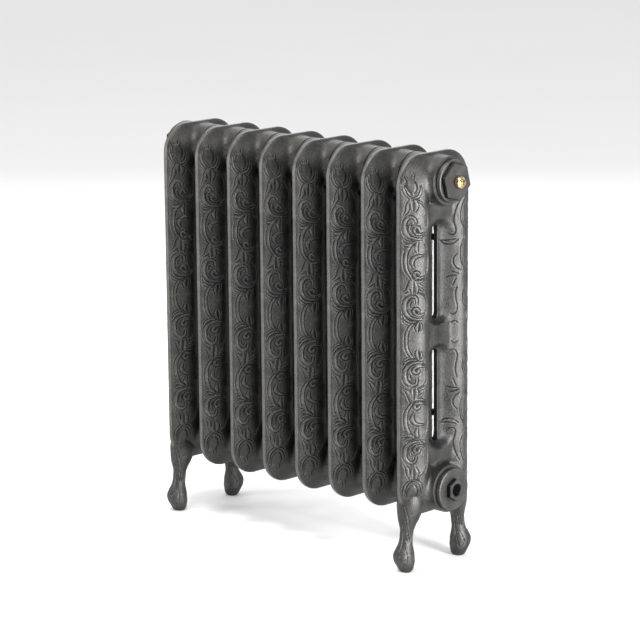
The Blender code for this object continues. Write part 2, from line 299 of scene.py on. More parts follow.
def spline(points, step):
    """Evenly spaced samples of a Catmull-Rom curve through points."""
    p = np.array(points, float)
    p = np.vstack((2 * p[0] - p[1], p, 2 * p[-1] - p[-2]))
    t = np.linspace(0, 1, 12, endpoint=False)[:, None]
    dense = [0.5 * (2 * b + (c - a) * t + (2 * a - 5 * b + 4 * c - d) * t ** 2
                    + (3 * b - a - 3 * c + d) * t ** 3)
             for a, b, c, d in zip(p, p[1:], p[2:], p[3:])]
    dense = np.vstack(dense + [p[-2]])
    length = np.concatenate(([0], np.cumsum(np.hypot(*np.diff(dense, axis=0).T))))
    at = np.linspace(0, length[-1], max(4, int(round(length[-1] / step)) + 1))
    return np.column_stack([np.interp(at, length, dense[:, k]) for k in (0, 1)])


def stroke_widths(widths, count):
    """Half width at count points along a stroke, from its start, middle and end widths."""
    start, middle, end = widths
    t = np.linspace(0, 1, count)
    return np.where(t < 0.5, start + (middle - start) * np.sin(math.pi * np.minimum(t, 0.5)),
                    end + (middle - end) * np.sin(math.pi * np.maximum(t, 0.5)))


class Stroke:
    """A raised scroll or an engraved vein along a smooth line."""

    def __init__(self, points, widths=None):
        self.line = spline(points, STROKE_STEP)
        self.raised = widths is not None
        count = len(self.line)
        self.width = stroke_widths(widths, count) if self.raised else np.zeros(count)

    def reach(self, points):
        """Each point's distance from the line, and the half width there."""
        a, b = self.line[:-1], self.line[1:]
        along = b - a
        t = np.einsum("pki,ki->pk", points[:, None] - a, along) / (along ** 2).sum(1)
        t = np.clip(t, 0, 1)
        nearest = a + t[..., None] * along
        distance = np.hypot(*(points[:, None] - nearest).transpose(2, 0, 1))
        k = distance.argmin(1)
        row = np.arange(len(points))
        share = t[row, k]
        return distance[row, k], self.width[k] * (1 - share) + self.width[k + 1] * share

    def mesh_points(self):
        """Rows of points beside the line that let a mesh follow its section."""
        tangent = np.gradient(self.line, axis=0)
        normal = np.column_stack((-tangent[:, 1], tangent[:, 0]))
        normal /= np.hypot(*normal.T)[:, None]
        if self.raised:
            lip = self.width + GROOVE_WIDTH + LIP_OFFSET
            offsets = (0 * self.width, 0.7 * self.width, self.width,
                       self.width + GROOVE_WIDTH / 2, self.width + GROOVE_WIDTH, lip, lip + 0.9)
        else:
            offsets = (self.width, self.width + 0.7, self.width + 1.5, self.width + 2.4)
        rows = [self.line + side * normal * offset[:, None]
                for offset in offsets for side in (-1, 1)]
        return np.vstack(rows)

    def section(self, distance, width):
        """Height of the raised part, groove and lip at a distance from the line."""
        if self.raised:
            full = blend_step(width, HAIRLINE, FULL_LINE)
            share = np.clip(1 - (distance / np.maximum(width, 0.05)) ** 4, 0, 1)
            pad = (0.32 + 0.12 * width) * np.sqrt(share)
            outside = distance - width
            groove = GROOVE_DEPTH * np.sin(math.pi * np.clip(outside / GROOVE_WIDTH, 0, 1)) * full
            lip_at = GROOVE_WIDTH + LIP_OFFSET
        else:
            pad = 0 * distance
            outside = distance
            across = np.clip(distance / VEIN_HALF_WIDTH, 0, 1)
            groove = VEIN_DEPTH * np.cos(math.pi / 2 * across)
            full = VEIN_STRENGTH
            lip_at = VEIN_HALF_WIDTH + LIP_OFFSET
        lip = LIP_HEIGHT * np.exp(-((outside - lip_at) / LIP_WIDTH) ** 2) * full
        return pad, groove, lip


def relief(points, strokes):
    """Height of the ornament over the plain surface, and its tone: over 0 is painted highlight, under
    0 painted shade.
    """
    pad, groove, lip, rim = (np.zeros(len(points)) for _ in range(4))
    for stroke in strokes:
        low = stroke.line.min(0) - STROKE_REACH
        high = stroke.line.max(0) + STROKE_REACH
        near = np.flatnonzero(((points > low) & (points < high)).all(1))
        if not len(near):
            continue
        distance, width = stroke.reach(points[near])
        for total, part in zip((pad, groove, lip), stroke.section(distance, width)):
            total[near] = np.maximum(total[near], part)
        if stroke.raised:
            edge = np.exp(-((distance - width + 0.5) / 0.5) ** 2)
            edge *= blend_step(width, HAIRLINE, FULL_LINE)
            rim[near] = np.maximum(rim[near], edge)
    on_pad = pad > 0
    groove = np.where(on_pad, 0, groove)
    lip = np.where(on_pad, 0, lip) * (1 - groove / GROOVE_DEPTH)
    # painted highlight on pads, rims and lips; painted shade in the grooves
    tone = PAD_PAINTED_HIGHLIGHT * on_pad + RIM_PAINTED_HIGHLIGHT * rim * on_pad + LIP_PAINTED_HIGHLIGHT * lip / LIP_HEIGHT
    tone -= GROOVE_PAINTED_SHADE * groove / GROOVE_DEPTH
    return pad - groove + lip, tone


def set_tones(mesh, tones):
    """Stores the tones, painted highlight and painted shade, where the iron material reads them."""
    attribute = mesh.attributes.new("relief", "FLOAT", "POINT")
    attribute.data.foreach_set("value", np.asarray(tones, np.float32))


def mesh_object(name, vertices, faces, material, sharp_deg=SHARP_DEG, tones=None):
    """A smooth-shaded object from vertices in mm; tones is one number for each vertex."""
    mesh = bpy.data.meshes.new(name)
    mesh.from_pydata((np.asarray(vertices) * MM).tolist(), [], faces)
    mesh.validate()
    if tones is not None:
        set_tones(mesh, tones)
    mesh.shade_smooth()
    mesh.set_sharp_from_angle(angle=math.radians(sharp_deg))
    mesh.materials.append(material)
    obj = bpy.data.objects.new(name, mesh)
    bpy.context.collection.objects.link(obj)
    return obj


# ================================================================ the casting's side
flank = smooth_curve(FLANK)


def inset_of(points):
    """How far inside the casting's side outline each (y, z) point lies."""
    low = np.zeros(len(points))
    high = np.full(len(points), HALF_DEPTH)
    y, z = np.abs(points).T
    for _ in range(26):
        inset = (low + high) / 2
        radius = CORNER_RADIUS + (CORE_RADIUS - CORNER_RADIUS) * np.minimum(inset / CORE_INSET, 1)
        from_y = y - (HALF_DEPTH - inset - radius)
        from_z = z - (HALF_HEIGHT - inset - radius)
        corner = (from_y > 0) & (from_z > 0)
        beyond = np.where(corner, np.hypot(from_y, from_z), np.maximum(from_y, from_z)) - radius
        high = np.where(beyond > 0, inset, high)
        low = np.where(beyond > 0, low, inset)
    return (low + high) / 2


def closed_valley(y, past_end, stretch, level):
    """Iron that closes the valley between the columns past the end of a slot."""
    from_end = np.hypot(y, np.clip(past_end, 0, None) * stretch)
    return np.minimum(level, flank(HALF_DEPTH - from_end)) * (past_end > 0)


def half_thickness(points):
    """From the casting's middle plane to its plain surface, at (y, z) points."""
    y, z = np.abs(points).T
    inset = inset_of(points)
    half = flank(inset)
    half = smooth_max(half, closed_valley(y, PANEL_END - z, 1.5, PANEL_LEVEL), VALLEY_SOFTNESS)
    shoulder = closed_valley(y, z - SHOULDER_START, 1.3, SHOULDER_LEVEL)
    half = smooth_max(half, shoulder, VALLEY_SOFTNESS)
    from_boss = np.clip(np.hypot(y, z - HUB_OFFSET) - BOSS_RADIUS, 0, HUB_FILLET)
    fillet = HUB_FILLET - np.sqrt(HUB_FILLET ** 2 - (HUB_FILLET - from_boss) ** 2)
    half = half + fillet * blend_step(inset, 0, 7)
    return np.where(inset < EDGE_TOLERANCE, NOSE_HALF_WIDTH, half)


def slot_distance(points):
    """From the slot's edge, negative inside it."""
    y, z = np.abs(points).T
    low, high = SLOT_NEAR + SLOT_HALF_WIDTH, SLOT_FAR - SLOT_HALF_WIDTH
    return np.hypot(y, z - np.clip(z, low, high)) - SLOT_HALF_WIDTH


def evenly(start, end):
    """Points EDGE_STEP apart from start up to but without end."""
    start, end = np.array(start, float), np.array(end, float)
    count = max(1, int(round(np.hypot(*(end - start)) / EDGE_STEP)))
    return [tuple(start + (end - start) * i / count) for i in range(count)]


def arc(centre, radius, start_deg, end_deg, step=EDGE_STEP):
    """Points round an arc, without its last one."""
    turn = math.radians(end_deg - start_deg)
    count = max(3, int(round(abs(turn) * radius / step)))
    angles = [math.radians(start_deg) + turn * i / count for i in range(count)]
    return [(centre[0] + radius * math.cos(a), centre[1] + radius * math.sin(a))
            for a in angles]


def quarter_outline():
    """Edge of one quarter of the side, y and z from 0 up; slot and hub are left out."""
    corner = (HALF_DEPTH - CORNER_RADIUS, HALF_HEIGHT - CORNER_RADIUS)
    hub = (0, HUB_OFFSET)
    near = (0, SLOT_NEAR + SLOT_HALF_WIDTH)
    far = (0, SLOT_FAR - SLOT_HALF_WIDTH)
    return (evenly((0, 0), (HALF_DEPTH, 0))
            + evenly((HALF_DEPTH, 0), (HALF_DEPTH, corner[1]))
            + arc(corner, CORNER_RADIUS, 0, 90)
            + evenly((corner[0], HALF_HEIGHT), (0, HALF_HEIGHT))
            + evenly((0, HALF_HEIGHT), (0, HUB_OFFSET + BOSS_RADIUS))
            + arc(hub, BOSS_RADIUS, 90, -90)
            + evenly((0, HUB_OFFSET - BOSS_RADIUS), (0, SLOT_FAR))
            + arc(far, SLOT_HALF_WIDTH, 90, 0, 1.5)
            + evenly((SLOT_HALF_WIDTH, far[1]), (SLOT_HALF_WIDTH, near[1]))
            + arc(near, SLOT_HALF_WIDTH, 0, -90, 1.5)
            + evenly((0, SLOT_NEAR), (0, 0)))


def grid_points(step):
    """A triangular grid over the quarter."""
    rows = np.arange(step / 2, HALF_HEIGHT, step * 0.87)
    return np.array([(y, z) for k, z in enumerate(rows)
                     for y in np.arange(step / 2 + step / 2 * (k % 2), HALF_DEPTH, step)])


def spread_out(points, spacing):
    """Drops points closer than spacing to one already kept."""
    kept, cells = [], {}
    for point in points:
        cell = (int(point[0] // spacing), int(point[1] // spacing))
        close = (cells.get((cell[0] + i, cell[1] + j)) for i in (-1, 0, 1) for j in (-1, 0, 1))
        if all(other is None or math.dist(other, point) >= spacing for other in close):
            cells[cell] = tuple(point)
            kept.append(point)
    return np.array(kept)


def clear_of(points, others, spacing):
    """The points that are at least spacing from all others."""
    far = np.ones(len(points), bool)
    for start in range(0, len(others), 400):
        block = others[start:start + 400]
        gap = np.hypot(*(points[:, None] - block).transpose(2, 0, 1))
        far &= gap.min(1) >= spacing
    return points[far]


def quarter_mesh(strokes):
    """Triangles over one quarter of the side, dense along the ornament."""
    edge = np.array(quarter_outline())
    fine = np.vstack([stroke.mesh_points() for stroke in strokes])
    # the gaps below, in mm, keep thin triangles out
    fine = spread_out(fine, 0.55)
    rim = np.array([p for p in grid_points(1.5) if 0.8 < slot_distance(np.array([p]))[0] < 3.2])
    fine = np.vstack((fine, rim))
    inside = ((fine[:, 0] > 0.4) & (fine[:, 1] > 0.4) & (inset_of(fine) > 0.9)
              & (slot_distance(fine) > 0.8)
              & (np.hypot(fine[:, 0], fine[:, 1] - HUB_OFFSET) > BOSS_RADIUS + 0.8))
    fine = clear_of(fine[inside], edge, 0.7)
    plain = grid_points(GRID_STEP)
    inside = ((inset_of(plain) > 1.5) & (slot_distance(plain) > 1.5)
              & (np.hypot(plain[:, 0], plain[:, 1] - HUB_OFFSET) > BOSS_RADIUS + 1.5))
    plain = clear_of(clear_of(plain[inside], edge, 1.6), fine, 1.6)
    hub_rings = np.array([p for gap in (1.2, 3.0, 5.2)
                          for p in arc((0, HUB_OFFSET), BOSS_RADIUS + gap, 88, -88, 3.6)])
    hub_rings = clear_of(hub_rings[inset_of(hub_rings) > 1.2], np.vstack((edge, fine)), 1.0)
    plain = clear_of(plain, hub_rings, 1.6)
    points = np.vstack((edge, fine, hub_rings, plain))
    result = delaunay_2d_cdt([Vector(p) for p in points], [], [list(range(len(edge)))], 1, 1e-5)
    return np.array([tuple(v) for v in result[0]]), np.array(result[2])


def surface(points, strokes):
    """Place and tone of points on the quarter's surface, with its ornament."""
    nudge = 0.15
    half = half_thickness(points)
    slope = []
    for axis in (0, 1):
        shift = np.zeros(2)
        shift[axis] = nudge
        slope.append((half_thickness(points + shift) - half_thickness(np.abs(points - shift)))
                     / (2 * nudge))
    normal = np.column_stack((np.ones(len(points)), -slope[0], -slope[1]))
    normal /= np.linalg.norm(normal, axis=1)[:, None]
    inset = inset_of(points)
    to_slot = slot_distance(points)
    fade = blend_step(inset, 0.4, 2.4)
    height, tone = relief(points, strokes)
    rim = np.exp(-((to_slot - 1.6) / 1.1) ** 2) * (to_slot > 0.3)
    height = height * fade + SLOT_RIM_HEIGHT * rim
    # painted highlight along the slot's raised rim
    tone = tone * fade + SLOT_RIM_PAINTED_HIGHLIGHT * rim
    # painted shade low in the valley between the columns
    valley_shade_mask = blend_step(inset, *VALLEY_SHADE_INSET) * (1 - blend_step(half, *VALLEY_SHADE_THICKNESS))
    tone += VALLEY_PAINTED_SHADE * valley_shade_mask
    edge = (inset < EDGE_TOLERANCE) | (to_slot < EDGE_TOLERANCE)
    edge |= np.hypot(points[:, 0], points[:, 1] - HUB_OFFSET) < BOSS_RADIUS + EDGE_TOLERANCE
    height = np.where(edge, 0, height)
    shift = normal * height[:, None]
    shift[points[:, 0] < 1e-6, 1] = 0
    shift[points[:, 1] < 1e-6, 2] = 0
    place = np.column_stack((half, points)) + shift
    return place, tone


def casting_arrays():
    """Vertices, faces and painted light tones of one casting's outer skin, closed through its hubs.
    """
    strokes = [Stroke(points, widths) for widths, points in SCROLLS]
    strokes += [Stroke(points) for points in VEINS]
    points, triangles = quarter_mesh(strokes)
    place, tone = surface(points, strokes)

    parts, faces, tones, flat = [], [], [], []
    for turn, (sx, sy, sz) in enumerate((x, y, z) for x in (1, -1) for y in (1, -1)
                                        for z in (1, -1)):
        flip = sx * sy * sz < 0
        parts.append(place * (sx, sy, sz))
        flat.append(points * (sy, sz))
        tones.append(tone)
        faces.append((triangles[:, ::-1] if flip else triangles) + turn * len(points))
    vertices, tones = np.vstack(parts), np.concatenate(tones)
    flat, faces = np.vstack(flat), np.vstack(faces)
    # join the mirrored quarters where they meet
    side = np.sign(vertices[:, :1])
    keys = np.round(np.hstack((side, flat)), 4) + 0.0
    _, first, same = np.unique(keys, axis=0, return_index=True, return_inverse=True)
    vertices, tones, flat = vertices[first], tones[first], flat[first]
    faces = same.ravel()[faces]
    return close_casting(vertices, faces.tolist(), tones, flat)


def close_casting(vertices, faces, tones, flat):
    """Joins the two sides round the nose and slots, and adds the hub bosses."""
    partner = {(round(v[0], 3), round(v[1], 3), sign): i
               for i, (v, sign) in enumerate(zip(flat.tolist(), np.sign(vertices[:, 0])))}
    used = {}
    for face in faces:
        for a, b in zip(face, face[1:] + face[:1]):
            used[(a, b)] = True
    border = [(a, b) for a, b in used if (b, a) not in used and vertices[a][0] > 0]
    vertices, tones = vertices.tolist(), tones.tolist()

    def other(i):
        return partner[(round(flat[i][0], 3), round(flat[i][1], 3), -1.0)]

    def add(point, tone):
        vertices.append(point)
        tones.append(tone)
        return len(vertices) - 1

    columns = {}

    def column(i):
        """Vertices from the right side to the left one, at a border vertex."""
        if i in columns:
            return columns[i]
        y, z = flat[i]
        hub_z = math.copysign(HUB_OFFSET, z)
        if abs(math.hypot(y, z - hub_z) - BOSS_RADIUS) < 0.05:
            angle = math.atan2(z - hub_z, y)
            rings = ((BOSS_END - BOSS_CHAMFER, BOSS_RADIUS), (BOSS_END, BOSS_RADIUS - BOSS_CHAMFER),
                     (BOSS_END, HUB_BORE_RADIUS), (-BOSS_END, HUB_BORE_RADIUS),
                     (-BOSS_END, BOSS_RADIUS - BOSS_CHAMFER),
                     (BOSS_CHAMFER - BOSS_END, BOSS_RADIUS))
            made = [add([x, r * math.cos(angle), hub_z + r * math.sin(angle)], 0.0)
                    for x, r in rings]
        elif inset_of(np.array([[y, z]]))[0] < EDGE_TOLERANCE:
            outward = np.array([max(abs(y) - (HALF_DEPTH - CORNER_RADIUS), 0) * np.sign(y),
                                max(abs(z) - (HALF_HEIGHT - CORNER_RADIUS), 0) * np.sign(z)])
            outward = outward / max(np.hypot(*outward), 1e-9)
            crowns = ((2.6, 0.55), (0.0, 1.0), (-2.6, 0.55))
            # the nose band's vertices carry its painted highlight
            made = [add([x, *(flat[i] + outward * NOSE_CROWN * crown)], NOSE_PAINTED_HIGHLIGHT)
                    for x, crown in crowns]
        else:
            made = []
        columns[i] = [i] + made + [other(i)]
        return columns[i]

    for a, b in border:
        column_a, column_b = column(a), column(b)
        for k in range(len(column_a) - 1):
            faces.append([column_b[k], column_a[k], column_a[k + 1], column_b[k + 1]])
    vertices = np.array(vertices)
    vertices[:, 2] += MIDDLE_Z
    return vertices, faces, np.array(tones)


# ================================================================ legs and lugs
def leg_arrays():
    """One turned leg with its leaves, front side, as vertices, faces and painted light tones."""
    radius_at = smooth_curve([(z, radius) for z, radius, _ in LEG])
    centre_at = smooth_curve([(z, centre) for z, _, centre in LEG])
    top = LEG[-1][0]
    heights = np.concatenate(([0.0], np.linspace(0.6, top, LEG_ROWS)))
    angles = np.linspace(-math.pi, math.pi, LEG_SIDES, endpoint=False)
    angle, z = (grid.ravel() for grid in np.meshgrid(angles, heights))
    radius = radius_at(z)
    # leaves are drawn on the quarter facing forward and to one side, and mirrored
    folded = np.degrees(np.abs(np.arcsin(np.clip(np.sin(angle), -1, 1))))
    strokes = [Stroke([(math.radians(a) * LEG_MEAN_RADIUS, h) for a, h in points], widths)
               for widths, points in LEG_LEAVES]
    height, tone = relief(np.column_stack((np.radians(folded) * LEG_MEAN_RADIUS, z)), strokes)
    fade = blend_step(z, 0.5, 4) * blend_step(top - z, 6, 22)
    radius = radius + height * fade
    vertices = np.column_stack((radius * np.cos(angle), -centre_at(z) + radius * np.sin(angle), z))
    faces = []
    for row in range(LEG_ROWS):
        for k in range(LEG_SIDES):
            a, b = row * LEG_SIDES + k, row * LEG_SIDES + (k + 1) % LEG_SIDES
            faces.append([a, b, b + LEG_SIDES, a + LEG_SIDES])
    faces.append(list(range(LEG_SIDES))[::-1])
    faces.append(list(range(LEG_ROWS * LEG_SIDES, (LEG_ROWS + 1) * LEG_SIDES)))
    return vertices, faces, tone * fade


def ring(x, radius, z=0.0, y=0.0, sides=ROUND_SIDES):
    """Points of a circle that faces along X."""
    turn = 2 * math.pi / sides
    return [(x, y + radius * math.cos(turn * i), z + radius * math.sin(turn * i))
            for i in range(sides)]


def rings_solid(rings, closed=False):
    """Vertices and outward faces of a solid through rings that run towards +X outside."""
    sides = len(rings[0])
    count = len(rings)
    faces = []
    for row in range(count if closed else count - 1):
        for k in range(sides):
            a, b = row * sides + k, row * sides + (k + 1) % sides
            c, d = ((row + 1) % count) * sides + (k + 1) % sides, ((row + 1) % count) * sides + k
            faces.append([a, b, c, d])
    if not closed:
        faces.append(list(range(sides))[::-1])
        faces.append(list(range((count - 1) * sides, count * sides)))
    return [point for one in rings for point in one], faces


def united(name, parts):
    """One mesh from parts that overlap, each given as vertices, faces and tones."""
    objects = [mesh_object(name, vertices, faces, casting_iron)
               for vertices, faces, _ in parts]
    base = objects[0]
    for tool in objects[1:]:
        modifier = base.modifiers.new("join", "BOOLEAN")
        modifier.operation = "UNION"
        modifier.solver = "EXACT"
        modifier.object = tool
    depsgraph = bpy.context.evaluated_depsgraph_get()
    mesh = bpy.data.meshes.new_from_object(base.evaluated_get(depsgraph))
    for spare in objects:
        bpy.data.objects.remove(spare)
    mesh.name = name

    sources = np.vstack([vertices for vertices, _, _ in parts]) * MM
    tones = np.concatenate([tone for _, _, tone in parts])
    tree = KDTree(len(sources))
    for i, point in enumerate(sources.tolist()):
        tree.insert(point, i)
    tree.balance()
    set_tones(mesh, [tones[tree.find(vertex.co)[1]] for vertex in mesh.vertices])
    mesh.shade_smooth()
    mesh.set_sharp_from_angle(angle=math.radians(SHARP_DEG))
    return mesh


# ================================================================ materials
def new_material(name):
    """A material with its nodes, links and shader."""
    material = bpy.data.materials.new(name)
    material.use_nodes = True
    nodes = material.node_tree.nodes
    return material, nodes, material.node_tree.links, nodes["Principled BSDF"]


def noise(nodes, links, coords, scale, detail=4.0, roughness=0.55):
    """Noise in object space; scale is in features per metre."""
    texture = nodes.new("ShaderNodeTexNoise")
    texture.inputs["Scale"].default_value = scale
    texture.inputs["Detail"].default_value = detail
    texture.inputs["Roughness"].default_value = roughness
    links.new(coords.outputs["Object"], texture.inputs["Vector"])
    return texture.outputs["Fac"]


def ramp(nodes, links, source, stops):
    node = nodes.new("ShaderNodeValToRGB")
    elements = node.color_ramp.elements
    while len(elements) < len(stops):
        elements.new(0.5)
    for element, (position, color) in zip(elements, stops):
        element.position = position
        element.color = (*color, 1.0)
    links.new(source, node.inputs["Fac"])
    return node.outputs["Color"]


def calculate(nodes, links, operation, a, b):
    """A Math node on two values, each a number or another node's output."""
    node = nodes.new("ShaderNodeMath")
    node.operation = operation
    for socket, value in zip(node.inputs, (a, b)):
        if isinstance(value, (int, float)):
            socket.default_value = value
        else:
            links.new(value, socket)
    return node.outputs["Value"]


def grey(value, warmth=0.0):
    """A grey, a little red-yellow where warmth is over 0."""
    return (value * (1 + warmth), value, value * (1 - warmth))


def iron_material(name, shade):
    """Pewter paint on sand-cast iron, with painted light from the relief attribute: painted
    highlights on high edges, painted shade in grooves.
    """
    material, nodes, links, shader = new_material(name)
    coords = nodes.new("ShaderNodeTexCoord")
    attribute = nodes.new("ShaderNodeAttribute")
    attribute.attribute_name = "relief"
    cloud = noise(nodes, links, coords, 38, 5)
    speck = noise(nodes, links, coords, 560, 3, 0.6)
    # tone: 0.42 for plain paint, moved by the clouds, the specks and the relief attribute's painted
    # highlights and shade
    spread = calculate(nodes, links, "SUBTRACT", cloud, 0.5)
    spread = calculate(nodes, links, "MULTIPLY", spread, 0.5)
    fleck = calculate(nodes, links, "SUBTRACT", speck, 0.5)
    fleck = calculate(nodes, links, "MULTIPLY", fleck, 0.8)
    tone = calculate(nodes, links, "ADD", spread, fleck)
    tone = calculate(nodes, links, "ADD", tone, 0.42)
    tone = calculate(nodes, links, "ADD", tone, attribute.outputs["Fac"])
    color = ramp(nodes, links, tone, ((0.08, grey(0.012 * shade)), (0.32, grey(0.085 * shade, 0.01)),
                                      (0.52, grey(0.15 * shade, 0.015)),
                                      (0.82, grey(0.42 * shade, 0.02))))
    links.new(color, shader.inputs["Base Color"])
    gloss = ramp(nodes, links, calculate(nodes, links, "ADD", cloud, fleck),
                 ((0.25, grey(0.4)), (0.75, grey(0.57))))
    links.new(gloss, shader.inputs["Roughness"])
    shader.inputs["Metallic"].default_value = 0.9
    sand = nodes.new("ShaderNodeBump")
    sand.inputs["Strength"].default_value = 0.5
    sand.inputs["Distance"].default_value = 0.0005
    fine = noise(nodes, links, coords, 1300, 2, 0.7)
    coarse = calculate(nodes, links, "MULTIPLY", noise(nodes, links, coords, 260, 3), 1.4)
    grain = calculate(nodes, links, "ADD", fine, coarse)
    links.new(grain, sand.inputs["Height"])
    links.new(sand.outputs["Normal"], shader.inputs["Normal"])
    return material


def brass_material():
    material, nodes, links, shader = new_material("brass")
    coords = nodes.new("ShaderNodeTexCoord")
    cloud = noise(nodes, links, coords, 160, 4)
    color = ramp(nodes, links, cloud, ((0.34, (0.24, 0.165, 0.07)), (0.62, (0.55, 0.45, 0.26))))
    links.new(color, shader.inputs["Base Color"])
    gloss = ramp(nodes, links, noise(nodes, links, coords, 420, 3),
                 ((0.3, grey(0.24)), (0.7, grey(0.38))))
    links.new(gloss, shader.inputs["Roughness"])
    shader.inputs["Metallic"].default_value = 1.0
    return material


def matte_material(name, dark, light, scale):
    material, nodes, links, shader = new_material(name)
    coords = nodes.new("ShaderNodeTexCoord")
    color = ramp(nodes, links, noise(nodes, links, coords, scale, 4),
                 ((0.3, dark), (0.7, light)))
    links.new(color, shader.inputs["Base Color"])
    gloss = ramp(nodes, links, noise(nodes, links, coords, scale * 2, 3),
                 ((0.3, grey(0.55)), (0.7, grey(0.8))))
    links.new(gloss, shader.inputs["Roughness"])
    return material


casting_iron = iron_material("casting_iron", 0.40)
# a darker copy of the casting paint: the fittings share the castings' finish, so the lower shade is
# painted shade
fitting_iron_painted_shade = iron_material("fitting_iron_painted_shade", 0.34)
brass = brass_material()
rubber = matte_material("gasket_rubber", grey(0.012), grey(0.03), 300)
fibre = matte_material("washer_fibre", (0.2, 0.04, 0.02), (0.34, 0.09, 0.05), 500)


# ================================================================ pieces
def section_place(number):
    """Middle plane of a casting, from the right-hand face of its bosses."""
    return Vector((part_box(f"section_{number}")[1][0] - BOSS_END * MM, 0, 0))


def lug_parts():
    """The two spacing lugs on the left face of a casting."""
    parts = []
    for level in (-1, 1):
        z = MIDDLE_Z + level * LUG_OFFSET_Z
        vertices, faces = rings_solid([ring(x, LUG_RADIUS, z, LUG_Y, 24) for x in LUG_REACH])
        parts.append((vertices, faces, np.zeros(len(vertices))))
    return parts


def leg_parts():
    vertices, faces, tones = leg_arrays()
    return [(vertices, faces, tones),
            (vertices * (1, -1, 1), [face[::-1] for face in faces], tones)]


def build_castings():
    skin = [casting_arrays()]
    meshes = {"left_end_casting": united("left_end_casting", skin + leg_parts()),
              "middle_casting": united("middle_casting", skin + lug_parts()),
              "right_end_casting": united("right_end_casting",
                                          skin + leg_parts() + lug_parts())}
    for number in range(1, SECTION_COUNT + 1):
        name = {1: "left_end_casting", SECTION_COUNT: "right_end_casting"}.get(
            number, "middle_casting")
        piece = bpy.data.objects.new(f"casting_{number}", meshes[name])
        piece.location = section_place(number)
        bpy.context.collection.objects.link(piece)
        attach(piece, "radiator")
        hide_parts(f"section_{number}")


def polygon(x, flats, corner_deg, sides=6):
    """A ring round an even-sided polygon."""
    turn = 2 * math.pi / ROUND_SIDES
    share = 360 / sides
    points = []
    for i in range(ROUND_SIDES):
        from_corner = (math.degrees(turn * i) - corner_deg) % share
        radius = flats / 2 / math.cos(math.radians(from_corner - share / 2))
        points.append((x, radius * math.cos(turn * i), radius * math.sin(turn * i)))
    return points


def fluted(x, radius, depth):
    """A ring whose points step forward and back six times round."""
    return [(x + depth * math.cos(6 * math.atan2(z, y)), y, z) for _, y, z in ring(0, radius)]


def thread(radius, start, end):
    """Rings of a threaded hole that runs inwards from start to end."""
    rings = []
    x = start
    while x - THREAD_PITCH > end:
        rings += [ring(x, radius), ring(x - THREAD_PITCH / 2, radius - THREAD_DEPTH)]
        x -= THREAD_PITCH
    return rings + [ring(x, radius), ring(end, radius)]


def build_fitting(node, number, hub_z, flats, corner_deg, bore):
    """A plug or a bush: shank, round flange with a rolled edge, and a chamfered hexagon."""
    shank = [ring(SHANK_START, SHANK_RADIUS - 1.2), ring(SHANK_START + 1.2, SHANK_RADIUS),
             ring(FLANGE_START, SHANK_RADIUS)]
    edge = [ring(FLANGE_START, FLANGE_RADIUS - 0.8), ring(FLANGE_START + 0.8, FLANGE_RADIUS),
            ring(FLANGE_END - 1.6, FLANGE_RADIUS), ring(FLANGE_END - 0.5, FLANGE_RADIUS - 0.4),
            ring(FLANGE_END, FLANGE_RADIUS - 1.4)]
    head = [polygon(FLANGE_END, flats + 1.8, corner_deg),
            polygon(FLANGE_END - 0.9, flats + 1.4, corner_deg),
            polygon(FLANGE_END - 0.9, flats, corner_deg),
            polygon(HEX_END - 0.8, flats, corner_deg), polygon(HEX_END, flats - 1.4, corner_deg)]
    rings = shank + edge + head
    # one tone for each ring: painted highlight on the flange's rim, painted shadow round the hexagon
    tones = [0] * len(shank) + [0, 0.05, 0.08, 0.2, 0.1] + [-0.05, -0.3, -0.3, -0.2, 0.02]
    if bore:
        hole = [ring(HEX_END, bore + 0.9)] + thread(bore, HEX_END - 0.9, SHANK_START)
        rings += hole
        # painted shade down the threaded bore
        tones += [0.05, -0.1] + [-0.35] * (len(hole) - 2)
    vertices, faces = rings_solid(rings, closed=bool(bore))
    painted_light_tones = np.repeat(tones, ROUND_SIDES)
    if number == 1:
        vertices = [(-x, y, z) for x, y, z in vertices]
        faces = [face[::-1] for face in faces]
    piece = mesh_object(f"{node}_detail", vertices, faces, fitting_iron_painted_shade, FITTING_SHARP_DEG,
                        painted_light_tones)
    piece.location = section_place(number) + Vector((0, 0, hub_z)) * MM
    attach(piece, "radiator")
    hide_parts(node)


def tube_rings(start, end, outer, inner, rounding):
    """Rings of a washer with rounded outer edges."""
    return [ring(start, inner), ring(start, outer - rounding), ring(start + rounding, outer),
            ring(end - rounding, outer), ring(end, outer - rounding), ring(end, inner)]


def build_gaskets():
    """The rings between the castings and under the end fittings, and the vent's washer."""
    nodes = [f"joint_gasket_{level}_{number}" for level in ("lower", "upper")
             for number in range(1, SECTION_COUNT)]
    nodes += [f"end_gasket_{level}_{side}" for level in ("lower", "upper")
              for side in ("left", "right")]
    gasket_rings = tube_rings(-GASKET_HALF_THICKNESS, GASKET_HALF_THICKNESS, GASKET_OUTER,
                              GASKET_INNER, GASKET_ROUNDING)
    washer_rings = tube_rings(-WASHER_HALF_THICKNESS, WASHER_HALF_THICKNESS, WASHER_OUTER,
                              WASHER_INNER, WASHER_ROUNDING)
    gasket = mesh_object("gasket", *rings_solid(gasket_rings, closed=True), rubber)
    washer = mesh_object("washer", *rings_solid(washer_rings, closed=True), fibre)
    for node in nodes + ["vent_washer"]:
        source = washer if node == "vent_washer" else gasket
        piece = bpy.data.objects.new(f"{node}_detail", source.data)
        low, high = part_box(node)
        piece.location = (Vector(low) + Vector(high)) / 2
        bpy.context.collection.objects.link(piece)
        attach(piece, "radiator")
        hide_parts(node)
    bpy.data.objects.remove(gasket)
    bpy.data.objects.remove(washer)


